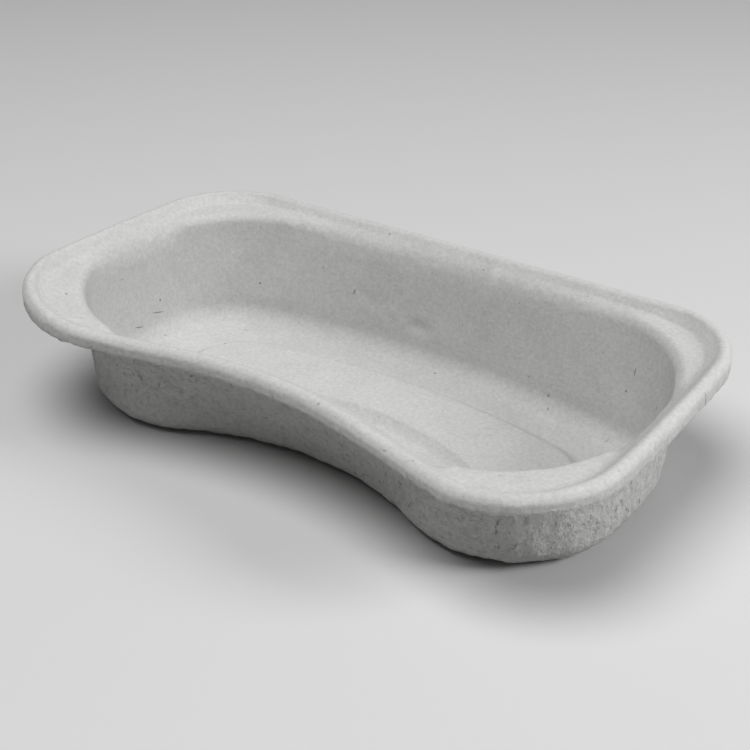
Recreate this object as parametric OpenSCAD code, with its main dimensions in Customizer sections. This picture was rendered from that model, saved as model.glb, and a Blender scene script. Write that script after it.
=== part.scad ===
// Kidney dish: one moulded paper-pulp shell with a kidney-shaped basin, a raised
// rim with a turned-down lip, and a raised pad in the middle of its floor.
// X runs along the dish, the waist faces -Y, +Z is up and z = 0 is the surface it stands on.

/* [Size] */
// length over the rim, end to end
length = 255; // [252:1:300]
// width over the rim, from the front lobes to the back
width = 144; // [130:1:160]
// height from the standing face to the crest of the rim
height = 50; // [35:1:70]
// thickness of the pulp
pulp = 2.2; // [1.6:0.1:2.8]

/* [Outline] */
// how far the waist curves in from the front lobes
waist = 14; // [8:0.5:14]
// radius of the front lobes of the rim
front_r = 38; // [34:1:40]
// radius of the back corners of the rim
back_r = 36; // [30:1:42]

/* [Rim] */
// radius over the crest of the rim
crest_r = 3.2; // [3:0.1:4]
// height of the lip, from the crest to its lower edge
lip_h = 6.5; // [5:0.5:9]
// how far the ledge lies below the crest
ledge_drop = 3.5; // [2.5:0.5:5]

/* [Basin] */
// how far the back wall leans in, from its top edge to the floor
draft = 7; // [5:1:9]
// radius between the wall and the floor, on the inside
foot_r = 9; // [6:1:10]
// height of the raised pad above the floor around it
pad_h = 3; // [1:0.5:5]

/* [Hidden] */

flat_cut = 0.3;        // pulp pressed off the underside, so that it stands flat
edge_r = 4;            // radius over the top edge of the basin
crease_in = 7.5;       // foot of the rim's inner slope, in from the lip
pad_slope = 5;         // width of the sloping side of the pad
floor_z = pulp - flat_cut;
ledge_z = height - ledge_drop;

// An outline is [half length, front, back, waist depth, back bulge,
//                front lobe radius, back corner radius, end radius].
rim = [length / 2, -width / 2, width / 2, waist, 2, front_r, back_r, 900];
// The basin is rounder than the rim, which leaves a ledge in each of the four corners.
edge = [rim[0] - 8.1, rim[1] + 13.3, rim[2] - 8.1, waist - 5, 2.5,
        front_r + 10, back_r + 14, 190];
wall_top = inset(edge, edge_r);
foot = [wall_top[0] - 0.35 * draft, wall_top[1] + 0.5 * draft, wall_top[2] - draft,
        waist + 4, 8, front_r + 2, back_r - 4, 150];
pad = [foot[0] - 28, foot[1] + 36, foot[2] - 22, waist + 7, 7, 13, 20, 190];

function inset(line, d) = line + d * [-1, 1, -1, 0, 0, -1, -1, -1];
function mix(a, b, t) = a * (1 - t) + b * t;
function arc(c, r, a0, a1, n) = [
    for (i = [0 : n - 1]) let (a = a0 + (a1 - a0) * i / n) c + r * [cos(a), sin(a)]
];
function heading(from, to) = atan2(to.y - from.y, to.x - from.x);

// Centre of a corner circle of radius r at height y, touching the end arc inside.
function corner(line, r, y) = [
    line[0] - line[7] + sqrt(pow(line[7] - r, 2) - y * y), y
];

// Right half of an outline, from the middle of the waist to the middle of the back:
// five arcs, each running smoothly into the next.
function half_outline(line) = let (
    w = line[3],
    b = line[4],
    lobe_r = line[5],
    back_r = line[6],
    end_r = line[7],
    lobe = corner(line, lobe_r, line[1] + lobe_r),
    back = corner(line, back_r, line[2] - b - back_r),
    waist_r = (pow(lobe.x, 2) + w * w) / (2 * w) - lobe_r,
    arch_r = (pow(back.x, 2) + b * b) / (2 * b) + back_r,
    waist_c = [0, line[1] + w - waist_r],
    arch_c = [0, line[2] - arch_r],
    end_c = [line[0] - end_r, 0]
) concat(
    arc(waist_c, waist_r, 90, heading(waist_c, lobe), 9),
    arc(lobe, lobe_r, heading(lobe, waist_c), heading(end_c, lobe), 11),
    arc(end_c, end_r, heading(end_c, lobe), heading(end_c, back), 8),
    arc(back, back_r, heading(end_c, back), heading(arch_c, back), 11),
    arc(arch_c, arch_r, heading(arch_c, back), 90, 9),
    [[0, line[2]]]
);

// The whole outline at height z, the left half mirrored from the right.
function ring(line, z) = let (h = half_outline(line), n = len(h)) concat(
    [for (p = h) [p.x, p.y, z]],
    [for (i = [n - 2 : -1 : 1]) [-h[i].x, h[i].y, z]]
);

// Rings of one skin of the shell, from the pad out to the lower edge of the lip.
// s is the depth below the upper skin: 0 inside the dish, pulp underneath it.
function skin(s) = concat(
    [for (t = [0 : 0.25 : 1])
        ring(inset(pad, -pad_slope * t), floor_z + pad_h * (1 + cos(180 * t)) / 2 - s)],
    [for (a = [90 : -15 : 15])
        ring(inset(foot, foot_r - (foot_r + s) * cos(a)),
             floor_z + foot_r - (foot_r + s) * sin(a))],
    [for (t = [1 / 3, 2 / 3])
        ring(inset(mix(foot, wall_top, t), -s),
             mix(floor_z + foot_r, ledge_z - edge_r, t))],
    [for (a = [6 : 28 : 90])
        ring(inset(edge, (edge_r - s) * cos(a)),
             ledge_z - edge_r + (edge_r - s) * sin(a))],
    [ring(inset(rim, crease_in), ledge_z - s)],
    [for (a = [126 : -18 : 0])
        ring(inset(rim, crest_r - (crest_r - s) * cos(a)),
             height - crest_r + (crest_r - s) * sin(a))],
    [ring(inset(rim, s), height - lip_h)]
);

module dish_shell() {
    upper = skin(0);
    under = skin(pulp);
    rings = concat(upper, [for (i = [len(under) - 1 : -1 : 0]) under[i]]);
    n = len(rings[0]);
    half = n / 2;
    last = (len(rings) - 1) * n;
    sides = [
        for (k = [0 : len(rings) - 2], i = [0 : n - 1]) let (
            a = k * n + i,
            b = k * n + (i + 1) % n
        ) each [[a, b, a + n], [b, b + n, a + n]]
    ];
    // each cap joins the waist side to the back, point by point
    cap = [
        for (i = [0 : half / 2 - 1], side = [0, 1]) let (
            a = side == 0 ? i : (n - i) % n,
            b = side == 0 ? i + 1 : n - i - 1,
            c = side == 0 ? half - i : half + i,
            d = side == 0 ? half - i - 1 : half + i + 1
        ) each side == 0 ? [[a, c, d], [a, d, b]] : [[a, d, c], [a, b, d]]
    ];
    color("#c4c4c1")
        difference() {
            polyhedron(
                points = [for (r = rings) each r],
                faces = concat(
                    sides,
                    [for (f = cap) f],
                    [for (f = cap) [f[2] + last, f[1] + last, f[0] + last]]
                )
            );
            translate([-length, -width, -10])
                cube([2 * length, 2 * width, 10]);
        }
}

dish_shell();
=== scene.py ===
"""Kidney dish of moulded paper pulp: the detailed shell, its material, and the studio around it.

Lengths are in millimetres until the mesh is made; the mesh itself is in metres.
"""

import math

import bpy
import numpy as np
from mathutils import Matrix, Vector, noise


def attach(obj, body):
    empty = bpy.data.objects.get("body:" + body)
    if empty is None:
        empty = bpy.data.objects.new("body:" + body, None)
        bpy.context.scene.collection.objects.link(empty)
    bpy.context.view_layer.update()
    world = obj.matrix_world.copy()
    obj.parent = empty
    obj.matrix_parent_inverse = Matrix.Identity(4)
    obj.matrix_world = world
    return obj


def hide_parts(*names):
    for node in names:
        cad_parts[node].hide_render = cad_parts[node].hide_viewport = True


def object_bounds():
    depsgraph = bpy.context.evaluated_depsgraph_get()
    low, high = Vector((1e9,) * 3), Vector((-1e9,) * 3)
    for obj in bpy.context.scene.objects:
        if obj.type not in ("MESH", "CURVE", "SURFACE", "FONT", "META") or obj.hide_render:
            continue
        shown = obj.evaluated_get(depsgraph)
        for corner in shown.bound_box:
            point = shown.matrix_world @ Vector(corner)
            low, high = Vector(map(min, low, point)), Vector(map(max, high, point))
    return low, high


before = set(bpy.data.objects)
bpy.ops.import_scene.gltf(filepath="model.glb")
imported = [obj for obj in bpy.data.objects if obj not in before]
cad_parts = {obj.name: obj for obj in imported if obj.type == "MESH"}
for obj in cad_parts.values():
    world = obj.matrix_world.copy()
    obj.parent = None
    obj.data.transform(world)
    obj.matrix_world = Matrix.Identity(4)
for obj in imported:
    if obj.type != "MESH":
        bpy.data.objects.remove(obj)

CAD_LOW, CAD_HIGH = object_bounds()
MM = 0.001

# ---------------------------------------------------------------- dimensions

LENGTH = (CAD_HIGH.x - CAD_LOW.x) / MM
WIDTH = (CAD_HIGH.y - CAD_LOW.y) / MM
HEIGHT = (CAD_HIGH.z - CAD_LOW.z) / MM

PULP = 2.2  # thickness of the shell
FLOOR_Z = 1.9  # top of the floor; the underside is pressed 0.3 mm flat
WAIST = 14.0
FRONT_R = 38.0
BACK_R = 36.0
DRAFT = 7.0
PAD_RISE = 3.0
PAD_SLOPE = 5.0
FOOT_R = 9.0
EDGE_R = 4.0
LEDGE_Z = HEIGHT - 3.5
CREASE_IN = 6.9  # foot of the rim's inner slope, in from the lip
CREST_R = 3.2
LIP_Z = HEIGHT - 6.5
FULL_LEDGE = 4.5  # gap between edge and crease from which the ledge keeps its whole shape


def outline(half_length, front, back, waist, bulge, lobe_r, back_r, end_r):
    """A kidney outline: where its sides lie, how deep its waist is, and its corner radii."""
    return np.array([half_length, front, back, waist, bulge, lobe_r, back_r, end_r])


def inset(line, d):
    return line + d * np.array([-1, 1, -1, 0, 0, -1, -1, -1])


def mix(a, b, t):
    return a * (1 - t) + b * t


RIM = outline(LENGTH / 2, -WIDTH / 2, WIDTH / 2, WAIST, 2, FRONT_R, BACK_R, 900)
EDGE = outline(RIM[0] - 8.1, RIM[1] + 13.3, RIM[2] - 8.1, WAIST - 5, 2.5, FRONT_R + 10, BACK_R + 14, 190)
WALL_TOP = inset(EDGE, EDGE_R)
FOOT = outline(
    WALL_TOP[0] - 0.35 * DRAFT,
    WALL_TOP[1] + 0.5 * DRAFT,
    WALL_TOP[2] - DRAFT,
    WAIST + 4, 8, FRONT_R + 2, BACK_R - 4, 150,
)
PAD = outline(FOOT[0] - 28, FOOT[1] + 36, FOOT[2] - 22, WAIST + 7, 7, 13, 20, 190)

# ---------------------------------------------------------------- the shell's surface

ARC_POINTS = 56  # points on each of the five arcs of half an outline
AROUND = 10 * ARC_POINTS  # points on a whole ring
CAP_ROWS = 20  # rows across the middle of the pad
PAD_RINGS, CHANNEL_RINGS, FOOT_RINGS, WALL_RINGS = 10, 8, 11, 18
EDGE_RINGS, LEDGE_RINGS, CREST_RINGS = 7, 3, 12
WALL_END = PAD_RINGS + CHANNEL_RINGS + FOOT_RINGS + WALL_RINGS
MERGE_FROM = WALL_END - 3  # ring just under the top of the wall, counted from the pad
MERGE_TO = WALL_END + EDGE_RINGS + LEDGE_RINGS + 2  # ring just inside the crest of the rim


def arc(centre, radius, start, end):
    angle = np.linspace(start, end, ARC_POINTS, endpoint=False)
    return centre + radius * np.stack([np.cos(angle), np.sin(angle)], axis=1)


def heading(a, b):
    return math.atan2(b[1] - a[1], b[0] - a[0])


def corner(line, radius, y):
    """Centre of a corner circle at height y that touches the end arc from inside."""
    half_length, end_r = line[0], line[7]
    return np.array([half_length - end_r + math.sqrt((end_r - radius) ** 2 - y * y), y])


def half_outline(line):
    """The right half, from the middle of the waist to the middle of the back, as tangent arcs."""
    half_length, front, back, waist, bulge, lobe_r, back_r, end_r = line
    lobe = corner(line, lobe_r, front + lobe_r)
    back_corner = corner(line, back_r, back - bulge - back_r)
    waist_r = (lobe[0] ** 2 + waist**2) / (2 * waist) - lobe_r
    arch_r = (back_corner[0] ** 2 + bulge**2) / (2 * bulge) + back_r
    waist_c = np.array([0, front + waist - waist_r])
    arch_c = np.array([0, back - arch_r])
    end_c = np.array([half_length - end_r, 0])
    return np.concatenate([
        arc(waist_c, waist_r, math.pi / 2, heading(waist_c, lobe)),
        arc(lobe, lobe_r, heading(lobe, waist_c), heading(end_c, lobe)),
        arc(end_c, end_r, heading(end_c, lobe), heading(end_c, back_corner)),
        arc(back_corner, back_r, heading(end_c, back_corner), heading(arch_c, back_corner)),
        arc(arch_c, arch_r, heading(arch_c, back_corner), math.pi / 2),
        [[0, back]],
    ])


def half_and_mirror(line):
    """The whole outline, its left half mirrored from its right."""
    half = half_outline(line)
    return np.concatenate([half, half[-2:0:-1] * [-1, 1]])


def ring(line, z):
    """The whole outline, lifted to height z."""
    flat = half_and_mirror(line)
    return np.column_stack([flat, np.full(len(flat), z)])


def skin(depth):
    """Rings of one skin of the shell, from the pad to the lip's lower edge.

    depth is 0 for the upper skin and PULP for the one underneath.
    """
    rings = []
    for t in np.linspace(0, 1, PAD_RINGS):
        step = PAD_RISE * (1 - t) ** 1.4
        rings.append(ring(inset(PAD, -PAD_SLOPE * t), FLOOR_Z + step - depth))
    channel_from = inset(PAD, -PAD_SLOPE)
    channel_to = inset(FOOT, FOOT_R)
    for t in np.linspace(0.1, 0.95, CHANNEL_RINGS):
        rings.append(ring(mix(channel_from, channel_to, t), FLOOR_Z - depth))
    for angle in np.radians(np.linspace(90, 12, FOOT_RINGS)):
        reach = FOOT_R - (FOOT_R + depth) * math.cos(angle)
        rings.append(ring(inset(FOOT, reach), FLOOR_Z + FOOT_R - (FOOT_R + depth) * math.sin(angle)))
    wall_low, wall_high = FLOOR_Z + FOOT_R, LEDGE_Z - EDGE_R
    for t in np.linspace(0.04, 0.96, WALL_RINGS):
        rings.append(ring(inset(mix(FOOT, WALL_TOP, t), -depth), mix(wall_low, wall_high, t)))
    for angle in np.radians(np.linspace(8, 90, EDGE_RINGS)):
        reach = (EDGE_R - depth) * math.cos(angle)
        rings.append(ring(inset(EDGE, reach), LEDGE_Z - EDGE_R + (EDGE_R - depth) * math.sin(angle)))
    for t in np.linspace(0.35, 1, LEDGE_RINGS):
        rings.append(ring(mix(EDGE, inset(RIM, CREASE_IN), t), LEDGE_Z - depth))
    for angle in np.radians(np.linspace(126, 0, CREST_RINGS)):
        reach = CREST_R - (CREST_R - depth) * math.cos(angle)
        rings.append(ring(inset(RIM, reach), HEIGHT - CREST_R + (CREST_R - depth) * math.sin(angle)))
    for t in (0.33, 0.66, 1.0):
        rings.append(ring(inset(RIM, depth), mix(HEIGHT - CREST_R, LIP_Z, t)))
    return rings


def ledge_share():
    """Share of the ledge kept at each point round the dish: 1 in the corners, near 0 between them."""
    edge = half_and_mirror(EDGE)
    crease = half_and_mirror(inset(RIM, CREASE_IN))
    gaps = np.linalg.norm(edge[:, None] - crease[None], axis=2).min(axis=1)
    share = np.clip(gaps / FULL_LEDGE, 0, 1)
    return share * share * (3 - 2 * share)


def narrowed_ledge(rings):
    """Between the corners, the wall curves up into the rim's inner slope with little or no ledge."""
    share = ledge_share()[:, None]
    low, high = rings[MERGE_FROM], rings[MERGE_TO]
    bend = mix(low, high, 0.3)
    bend[:, 2] = mix(low[:, 2], high[:, 2], 0.7)
    merged = list(rings)
    for k in range(MERGE_FROM, MERGE_TO + 1):
        t = (k - MERGE_FROM) / (MERGE_TO - MERGE_FROM)
        curve = (1 - t) ** 2 * low + 2 * t * (1 - t) * bend + t**2 * high
        merged[k] = mix(curve, rings[k], share)
    return merged


def cap(points, first, faces, facing_up):
    """Closes the ring that starts at index first with rows of quads; returns the new points."""
    half = AROUND // 2
    quarter = half // 2
    rim_points = points[first:first + AROUND]
    added = []
    columns = []
    for s in range(1 - quarter, quarter):
        front, back = s % AROUND, (half - s) % AROUND
        column = [first + front]
        for t in np.linspace(0, 1, CAP_ROWS + 1)[1:-1]:
            column.append(len(points) + len(added))
            added.append(mix(rim_points[front], rim_points[back], t))
        columns.append(column + [first + back])
    tips = [first + AROUND - quarter, first + quarter]
    new_faces = []
    for j in range(CAP_ROWS):
        new_faces.append((tips[0], columns[0][j], columns[0][j + 1]))
        new_faces.append((columns[-1][j], tips[1], columns[-1][j + 1]))
        for a, b in zip(columns, columns[1:]):
            new_faces.append((a[j], b[j], b[j + 1], a[j + 1]))
    faces.extend(new_faces if facing_up else [f[::-1] for f in new_faces])
    return np.concatenate([points, added])


def shell():
    """Points (mm), faces, and each point's share of the rough underside (0 inside, 1 outside)."""
    upper = narrowed_ledge(skin(0))
    under = narrowed_ledge(skin(PULP))
    middle = [ring(inset(RIM, PULP / 2), LIP_Z - 0.5)]
    rings = upper + middle + under[::-1]
    faces = []
    for k in range(len(rings) - 1):
        for i in range(AROUND):
            a = k * AROUND + i
            b = k * AROUND + (i + 1) % AROUND
            faces.append((a, a + AROUND, b + AROUND, b))
    points = np.concatenate(rings)
    points = cap(points, 0, faces, True)
    inside_total = len(points)
    points = cap(points, (len(rings) - 1) * AROUND, faces, False)
    coarse = np.zeros(len(points))
    coarse[len(upper) * AROUND:len(rings) * AROUND] = 1
    coarse[inside_total:] = 1
    lip_from = (len(upper) - 6) * AROUND
    coarse[lip_from:len(upper) * AROUND] = np.repeat(np.linspace(0.1, 0.6, 6), AROUND)
    return points, faces, coarse


# ---------------------------------------------------------------- how the pulp has moved

def lumps(points, size, octaves, shift):
    """Smooth random values of about -1 to 1, with features of the given size in mm."""
    return np.array([
        noise.fractal(Vector(p) / size + Vector((shift, 0, 0)), 1.0, 2.0, octaves) for p in points
    ])


def near(points, centre, reach):
    """1 at centre, falling smoothly to about 0 beyond reach."""
    away = ((points - np.array(centre)) / np.array(reach)) ** 2
    return np.exp(-away.sum(axis=1))


def warp(points):
    """How far the rim has moved while it dried, in mm; nothing moves at the floor."""
    x = points[:, 0] / (LENGTH / 2)
    y = points[:, 1] / (WIDTH / 2)
    high = np.clip(points[:, 2] / HEIGHT, 0, 1) ** 2
    front = np.clip(-y, 0, 1)
    lobes = front * np.exp(-(((np.abs(x) - 0.5) / 0.28) ** 2))
    ends_lift = 1.9 * x**2
    twist = 3.0 * x * y - 1.5 * x
    sag = -3.0 * front * (1 - x**2) - 2.5 * lobes
    flare = -2.5 * lobes
    return np.column_stack([0 * x, high * flare, high * (ends_lift + twist + sag)])


def wall_marks(points):
    """The wrinkle, the dent and the ripples on the inside of the back wall, in mm."""
    wrinkle = 0.9 * near(points, (17, 57, 36), (2.0, 12, 17))
    dent = -0.8 * near(points, (-12, 54, 16), (4, 8, 2.5))
    rippled = near(points, (-32, 53, 22), (28, 8, 11))
    ripples = 0.35 * rippled * lumps(points, 5, 2, 8.6)
    return wrinkle + dent + ripples


def displaced(points, normals, coarse):
    """The plain shell with its warp, its felted inside, its lumpy underside and its torn lip."""
    resting = points[:, 2] < 0.3
    inside = (1 - coarse) * (0.16 * lumps(points, 12, 4, 3.1) + wall_marks(points))
    outside = coarse * (0.45 * lumps(points, 7, 2, 17.7) + 0.35 * lumps(points, 3, 2, 29.3))
    push = inside + outside
    push[resting & (coarse > 0.5)] = 0
    moved = points + normals * push[:, None]
    torn = np.abs(points[:, 2] - LIP_Z) < 1.0
    moved[torn, 2] += 0.6 * lumps(points[torn], 3.4, 4, 40.2)
    moved[torn, 2] += 1.4 * near(points[torn], (115, -61, LIP_Z), (2.4, 2.4, 3))
    moved += warp(points)
    moved[:, 2] = np.maximum(moved[:, 2], 0)
    return moved


# ---------------------------------------------------------------- the pulp's material

# specks, hairs and cracks (the cracks' dark lines are painted shade): centre, radii along x, y and z in
# mm, tilt about x in degrees
WALL_SPECK = (0.6, 1.6, 0.6)
FLOOR_SPECK = (0.7, 0.6, 2.0)
MARKS = [
    ((-89, 46, 18), WALL_SPECK, 0),
    ((85, 48, 22), WALL_SPECK, 0),
    ((1, 47, 3), FLOOR_SPECK, 0),
    ((54, 32, 5), FLOOR_SPECK, 0),
    ((-102, -52, 49), FLOOR_SPECK, 0),
    ((-113, 9, 18), (1.5, 0.6, 0.8), 0),
    ((87, 50, 30), (0.3, 2, 2.2), 0),
    ((127, 19, 47), (2, 0.35, 3.5), 8),
    # Cracks at the feet of the end walls, drawn as painted shade.
    ((113, 18, 7), (2, 3.5, 0.5), 35),
    ((-113, 7, 13), (2, 4, 0.35), -16),
    ((-113, -5, 11), (2, 3.5, 0.35), -16),
]


def link(tree, source, target):
    tree.links.new(source, target)


def noise_node(tree, coordinates, scale, detail, rough=0.6):
    node = tree.nodes.new("ShaderNodeTexNoise")
    node.inputs["Scale"].default_value = scale
    node.inputs["Detail"].default_value = detail
    node.inputs["Roughness"].default_value = rough
    link(tree, coordinates, node.inputs["Vector"])
    return node.outputs["Fac"]


def stretch_node(tree, coordinates, scale):
    node = tree.nodes.new("ShaderNodeVectorMath")
    node.operation = "MULTIPLY"
    node.inputs[1].default_value = scale
    link(tree, coordinates, node.inputs[0])
    return node.outputs["Vector"]


def ramp_node(tree, value, low, high, to_low, to_high):
    node = tree.nodes.new("ShaderNodeMapRange")
    node.inputs["From Min"].default_value = low
    node.inputs["From Max"].default_value = high
    node.inputs["To Min"].default_value = to_low
    node.inputs["To Max"].default_value = to_high
    link(tree, value, node.inputs["Value"])
    return node.outputs["Result"]


def math_node(tree, operation, a, b):
    node = tree.nodes.new("ShaderNodeMath")
    node.operation = operation
    for socket, value in zip(node.inputs, (a, b)):
        if isinstance(value, float):
            socket.default_value = value
        else:
            link(tree, value, socket)
    return node.outputs["Value"]


def tint_node(tree, colour, tone_and_painted_shade):
    """Multiplies a colour by a grey value."""
    node = tree.nodes.new("ShaderNodeVectorMath")
    node.operation = "SCALE"
    node.inputs[0].default_value = colour
    link(tree, tone_and_painted_shade, node.inputs["Scale"])
    return node.outputs["Vector"]


def bump_node(tree, height, distance, strength, below=None):
    node = tree.nodes.new("ShaderNodeBump")
    node.inputs["Strength"].default_value = strength
    node.inputs["Distance"].default_value = distance
    link(tree, height, node.inputs["Height"])
    if below is not None:
        link(tree, below, node.inputs["Normal"])
    return node.outputs["Normal"]


def mark_node(tree, coordinates, centre, radii, tilt):
    """1 inside a small ellipsoid and 0 outside it, for a speck, a hair or a crack whose darkening is
    painted shade; lengths in mm.
    """
    mapping = tree.nodes.new("ShaderNodeMapping")
    mapping.vector_type = "TEXTURE"
    mapping.inputs["Location"].default_value = Vector(centre) * MM
    mapping.inputs["Rotation"].default_value = (math.radians(tilt), 0, 0)
    mapping.inputs["Scale"].default_value = Vector(radii) * MM
    link(tree, coordinates, mapping.inputs["Vector"])
    length = tree.nodes.new("ShaderNodeVectorMath")
    length.operation = "LENGTH"
    link(tree, mapping.outputs["Vector"], length.inputs[0])
    return ramp_node(tree, length.outputs["Value"], 0.5, 1.0, 1.0, 0.0)


def pulp_material():
    material = bpy.data.materials.new("pulp")
    material.use_nodes = True
    tree = material.node_tree
    shader = tree.nodes["Principled BSDF"]
    where = tree.nodes.new("ShaderNodeTexCoord").outputs["Object"]
    coarse_node = tree.nodes.new("ShaderNodeAttribute")
    coarse_node.attribute_name = "coarse"
    coarse = coarse_node.outputs["Fac"]

    cloud = ramp_node(tree, noise_node(tree, where, 60, 5, 0.65), 0.3, 0.7, 0.96, 1.03)
    fibre = ramp_node(tree, noise_node(tree, where, 650, 6, 0.75), 0.3, 0.7, 0.86, 1.12)
    # Painted shade: the rough outside is darkened in small pits, standing for the shade inside them.
    pit_painted_shade = ramp_node(tree, noise_node(tree, where, 420, 5, 0.75), 0.36, 0.5, 0.78, 1.0)
    outer_pit_painted_shade = math_node(tree, "POWER", pit_painted_shade, coarse)
    upright = stretch_node(tree, where, (1, 1, 0.45))
    # Holes in the rough outside: sunk by the bump below, and darkened in colour as painted shade inside
    # them.
    hole_depth_and_painted_shade = ramp_node(tree, noise_node(tree, upright, 520, 3, 0.6), 0.26, 0.37, 1.0, 0.0)
    patches = ramp_node(tree, noise_node(tree, where, 28, 1), 0.42, 0.62, 0.15, 1.0)
    hole_depth_and_painted_shade = math_node(tree, "MULTIPLY", math_node(tree, "MULTIPLY", hole_depth_and_painted_shade, patches), coarse)
    speck = ramp_node(tree, noise_node(tree, where, 420, 1), 0.20, 0.24, 0.6, 1.0)
    # The pulp's own tone (cloud, fibre, specks, hairs) times painted shade in the pits, holes and
    # cracks.
    tone_and_painted_shade = math_node(tree, "MULTIPLY", cloud, fibre)
    tone_and_painted_shade = math_node(tree, "MULTIPLY", tone_and_painted_shade, outer_pit_painted_shade)
    tone_and_painted_shade = math_node(tree, "MULTIPLY", tone_and_painted_shade, speck)
    # Painted shade in the holes.
    tone_and_painted_shade = math_node(tree, "MULTIPLY", tone_and_painted_shade, ramp_node(tree, hole_depth_and_painted_shade, 0.0, 1.0, 1.0, 0.68))
    # Each mark darkens the pulp: specks and hairs in their own colour, cracks as painted shade.
    for centre, radii, tilt in MARKS:
        mark = mark_node(tree, where, centre, radii, tilt)
        tone_and_painted_shade = math_node(tree, "MULTIPLY", tone_and_painted_shade, ramp_node(tree, mark, 0.0, 1.0, 1.0, 0.45))
    link(tree, tint_node(tree, (0.49, 0.49, 0.482), tone_and_painted_shade), shader.inputs["Base Color"])

    felt = bump_node(tree, noise_node(tree, where, 700, 6, 0.7), 0.0003, 0.6)
    grain = math_node(tree, "MULTIPLY", noise_node(tree, where, 280, 5, 0.65), coarse)
    grain = bump_node(tree, grain, 0.0018, 0.9, felt)
    sunk = math_node(tree, "MULTIPLY", hole_depth_and_painted_shade, -1.0)
    link(tree, bump_node(tree, sunk, 0.0007, 0.9, grain), shader.inputs["Normal"])
    rough = ramp_node(tree, fibre, 0.86, 1.12, 0.98, 0.86)
    link(tree, rough, shader.inputs["Roughness"])
    shader.inputs["Specular IOR Level"].default_value = 0.25
    return material


def dish_piece():
    points, faces, coarse = shell()
    mesh = bpy.data.meshes.new("dish")
    mesh.from_pydata(points.tolist(), [], faces)
    mesh.update()
    normals = np.zeros(len(points) * 3)
    mesh.vertex_normals.foreach_get("vector", normals)
    moved = displaced(points, normals.reshape(-1, 3), coarse)
    mesh.vertices.foreach_set("co", (moved * MM).ravel())
    attribute = mesh.attributes.new("coarse", "FLOAT", "POINT")
    attribute.data.foreach_set("value", coarse)
    mesh.shade_smooth()
    mesh.update()
    mesh.materials.append(pulp_material())
    piece = bpy.data.objects.new("dish_pulp", mesh)
    bpy.context.scene.collection.objects.link(piece)
    return piece


# ---------------------------------------------------------------- the studio

def studio_floor():
    bpy.ops.mesh.primitive_plane_add(size=8)
    floor = bpy.context.object
    floor.name = "floor"
    material = bpy.data.materials.new("floor")
    material.use_nodes = True
    shader = material.node_tree.nodes["Principled BSDF"]
    shader.inputs["Base Color"].default_value = (0.55, 0.55, 0.55, 1)
    shader.inputs["Roughness"].default_value = 0.9
    floor.data.materials.append(material)
    return floor


def area_light(name, place, size, power):
    data = bpy.data.lights.new(name, "AREA")
    data.shape = "DISK"
    data.size = size
    data.energy = power
    light = bpy.data.objects.new(name, data)
    light.location = place
    light.rotation_euler = (-Vector(place)).to_track_quat("-Z", "Y").to_euler()
    bpy.context.scene.collection.objects.link(light)


def world_light(strength):
    world = bpy.data.worlds.new("studio")
    world.use_nodes = True
    background = world.node_tree.nodes["Background"]
    background.inputs["Color"].default_value = (1, 1, 1, 1)
    background.inputs["Strength"].default_value = strength
    bpy.context.scene.world = world


def camera(azimuth, elevation, distance, target, lens):
    """A camera that looks at target; azimuth 0 is straight from the waist side."""
    az, el = math.radians(azimuth), math.radians(elevation)
    away = Vector((math.sin(az) * math.cos(el), -math.cos(az) * math.cos(el), math.sin(el)))
    data = bpy.data.cameras.new("camera")
    data.lens = lens
    data.sensor_width = 36
    data.clip_start = 0.01
    item = bpy.data.objects.new("camera", data)
    item.location = Vector(target) + distance * away
    item.rotation_euler = (-away).to_track_quat("-Z", "Y").to_euler()
    bpy.context.scene.collection.objects.link(item)
    bpy.context.scene.camera = item


dish = dish_piece()
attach(dish, "root")
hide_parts("dish_shell")

studio_floor()
area_light("top", (-0.12, -0.34, 1.35), 1.1, 18.5)
area_light("right", (1.1, 0.42, 0.66), 0.5, 12.5)
world_light(0.08)
camera(35.5, 29.65, 0.558, (0.0049, -0.0004, 0.0249), 71.4)
bpy.context.scene.view_settings.view_transform = "Standard"
